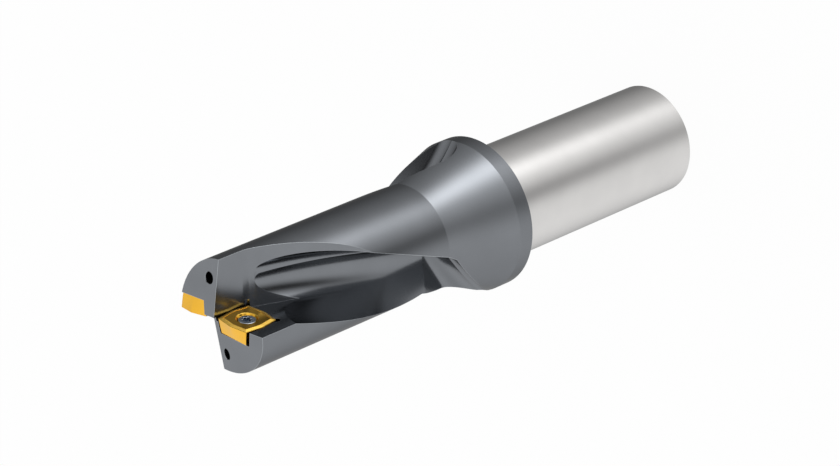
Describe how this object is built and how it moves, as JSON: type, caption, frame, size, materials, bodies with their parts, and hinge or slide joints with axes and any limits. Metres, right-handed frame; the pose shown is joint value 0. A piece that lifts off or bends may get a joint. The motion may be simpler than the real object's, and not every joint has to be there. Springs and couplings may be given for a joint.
{
  "type": "indexable drill",
  "caption": "Short-hole drill with a fluted steel body, screwed cutting inserts, a conical collar and a flatted cylindrical shank with a coolant bore.",
  "frame": {"origin": "centre of the shank's end face", "axes": "+Z along the drill's axis from the shank's end towards the nose; +X along the cutting radius of the inner insert, and +Y the way that its rake face looks"},
  "size_m": [0.0338, 0.0338, 0.1303],
  "materials": {
    "tool_steel": "satin grey coating in front, bright ground shank",
    "coated_carbide": "gold coloured hard coating on carbide",
    "screw_steel": "bluish polished steel"
  },
  "bodies": {
    "root": {"drill_body": "tool_steel", "inner_insert": "coated_carbide", "outer_insert": "coated_carbide", "inner_insert_screw": "screw_steel", "outer_insert_screw": "screw_steel"}
  },
  "joints": []
}
